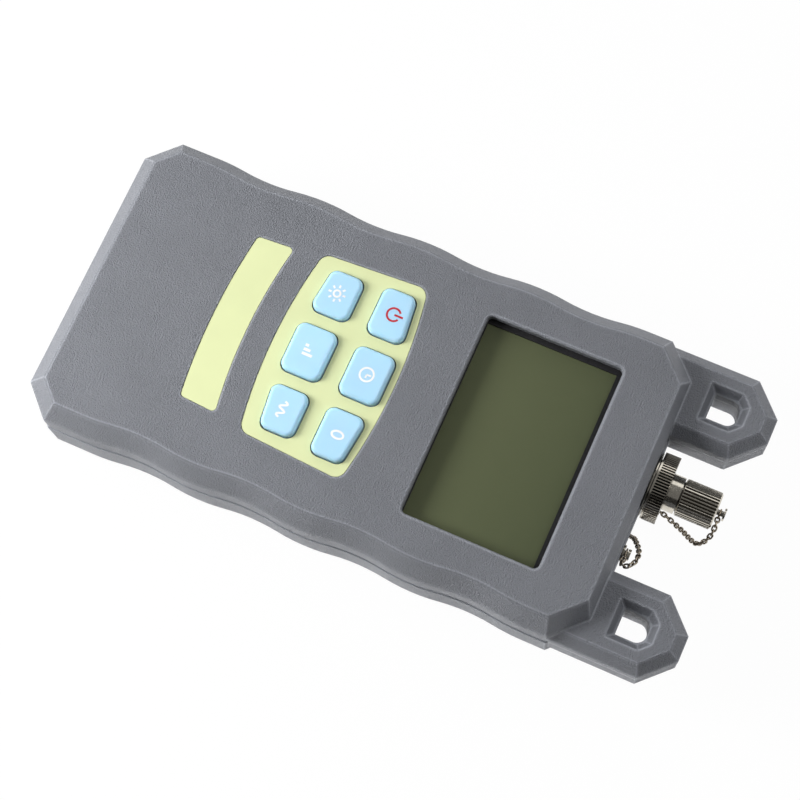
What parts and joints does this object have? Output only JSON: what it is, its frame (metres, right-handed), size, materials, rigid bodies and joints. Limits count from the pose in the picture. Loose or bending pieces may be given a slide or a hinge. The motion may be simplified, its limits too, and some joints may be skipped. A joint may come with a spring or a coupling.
{
  "type": "optical power meter",
  "caption": "Handheld fibre optic power meter: wavy-sided moulded case with strap ears, display, keypad, fibre port with chained dust cap, and battery bay.",
  "frame": {"origin": "centre of the flat back's level, half way along the whole length and across the width; Z = 0 is the back", "axes": "+Z out of the keypad and display, +Y along the long side towards the fibre port and strap ears, +X to the right of the keypad"},
  "size_m": [0.0816, 0.1753, 0.0344],
  "materials": {
    "case": "fine matte texture",
    "film": "smooth printed film",
    "pane": "clear, polished",
    "lcd": "display glass, unlit",
    "light_guide": "frosted",
    "key": "satin rubber",
    "black_rubber": "matte",
    "black_plastic": "matte",
    "circuit_board": "solder mask",
    "steel": "plain",
    "nickel": "nickel plated",
    "chain": "dark plated",
    "ceramic": "ceramic",
    "cell_jacket": "plain sleeve"
  },
  "bodies": {
    "root": {"front_shell": "case", "rear_shell": "case", "keypad_film": "film", "name_film": "film", "display_pane": "pane", "display_gasket": "black_rubber", "display_glass": "lcd", "display_backlight": "light_guide", "contact_strip": "black_rubber", "main_board": "circuit_board", "amplifier_board": "circuit_board", "board_header": "black_plastic", "board_chips": "black_plastic", "board_screws": "steel", "case_screws": "steel", "keypad_mat": "black_rubber", "snap_domes": "steel", "detector_port": "nickel", "port_nut": "nickel", "port_washer": "steel", "photodiode": "steel", "fibre_adapter": "nickel", "alignment_sleeve": "ceramic", "cap_chain": "chain", "chain_anchor": "nickel", "aa_cells": "cell_jacket", "battery_springs": "steel", "battery_contacts": "steel"},
    "cap_swivel": {"swivel_post": "nickel"},
    "cap": {"dust_cap": "nickel", "cap_seal": "black_rubber"},
    "ring": {"coupling_ring": "nickel"},
    "door": {"battery_door": "case"},
    "key_power_body": {"key_power": "key"},
    "key_auto_off_body": {"key_auto_off": "key"},
    "key_zero_body": {"key_zero": "key"},
    "key_light_body": {"key_light": "key"},
    "key_db_body": {"key_db": "key"},
    "key_wavelength_body": {"key_wavelength": "key"}
  },
  "joints": [
    {"name": "key_power_press", "type": "slide", "parent": "root", "child": "key_power_body", "axis": [0, 0, -1], "range_m": [0, 0.0008], "stiffness_N_per_m": 900},
    {"name": "key_auto_off_press", "type": "slide", "parent": "root", "child": "key_auto_off_body", "axis": [0, 0, -1], "range_m": [0, 0.0008], "stiffness_N_per_m": 900},
    {"name": "key_zero_press", "type": "slide", "parent": "root", "child": "key_zero_body", "axis": [0, 0, -1], "range_m": [0, 0.0008], "stiffness_N_per_m": 900},
    {"name": "key_light_press", "type": "slide", "parent": "root", "child": "key_light_body", "axis": [0, 0, -1], "range_m": [0, 0.0008], "stiffness_N_per_m": 900},
    {"name": "key_db_press", "type": "slide", "parent": "root", "child": "key_db_body", "axis": [0, 0, -1], "range_m": [0, 0.0008], "stiffness_N_per_m": 900},
    {"name": "key_wavelength_press", "type": "slide", "parent": "root", "child": "key_wavelength_body", "axis": [0, 0, -1], "range_m": [0, 0.0008], "stiffness_N_per_m": 900},
    {"name": "coupling_ring_turn", "type": "hinge", "parent": "root", "child": "ring", "pos_m": [-0.007, 0.0676, 0.0165], "axis": [0, 1, 0], "continuous": true},
    {"name": "dust_cap_pull", "type": "slide", "parent": "root", "child": "cap_swivel", "axis": [0, 1, 0], "range_m": [0, 0.012], "deforming": ["cap_chain"]},
    {"name": "dust_cap_turn", "type": "hinge", "parent": "cap_swivel", "child": "cap", "pos_m": [-0.007, 0.0776, 0.0165], "axis": [0, 1, 0], "continuous": true},
    {"name": "battery_door_slide", "type": "slide", "parent": "root", "child": "door", "axis": [0, -1, 0], "range_m": [0, 0.02]}
  ]
}
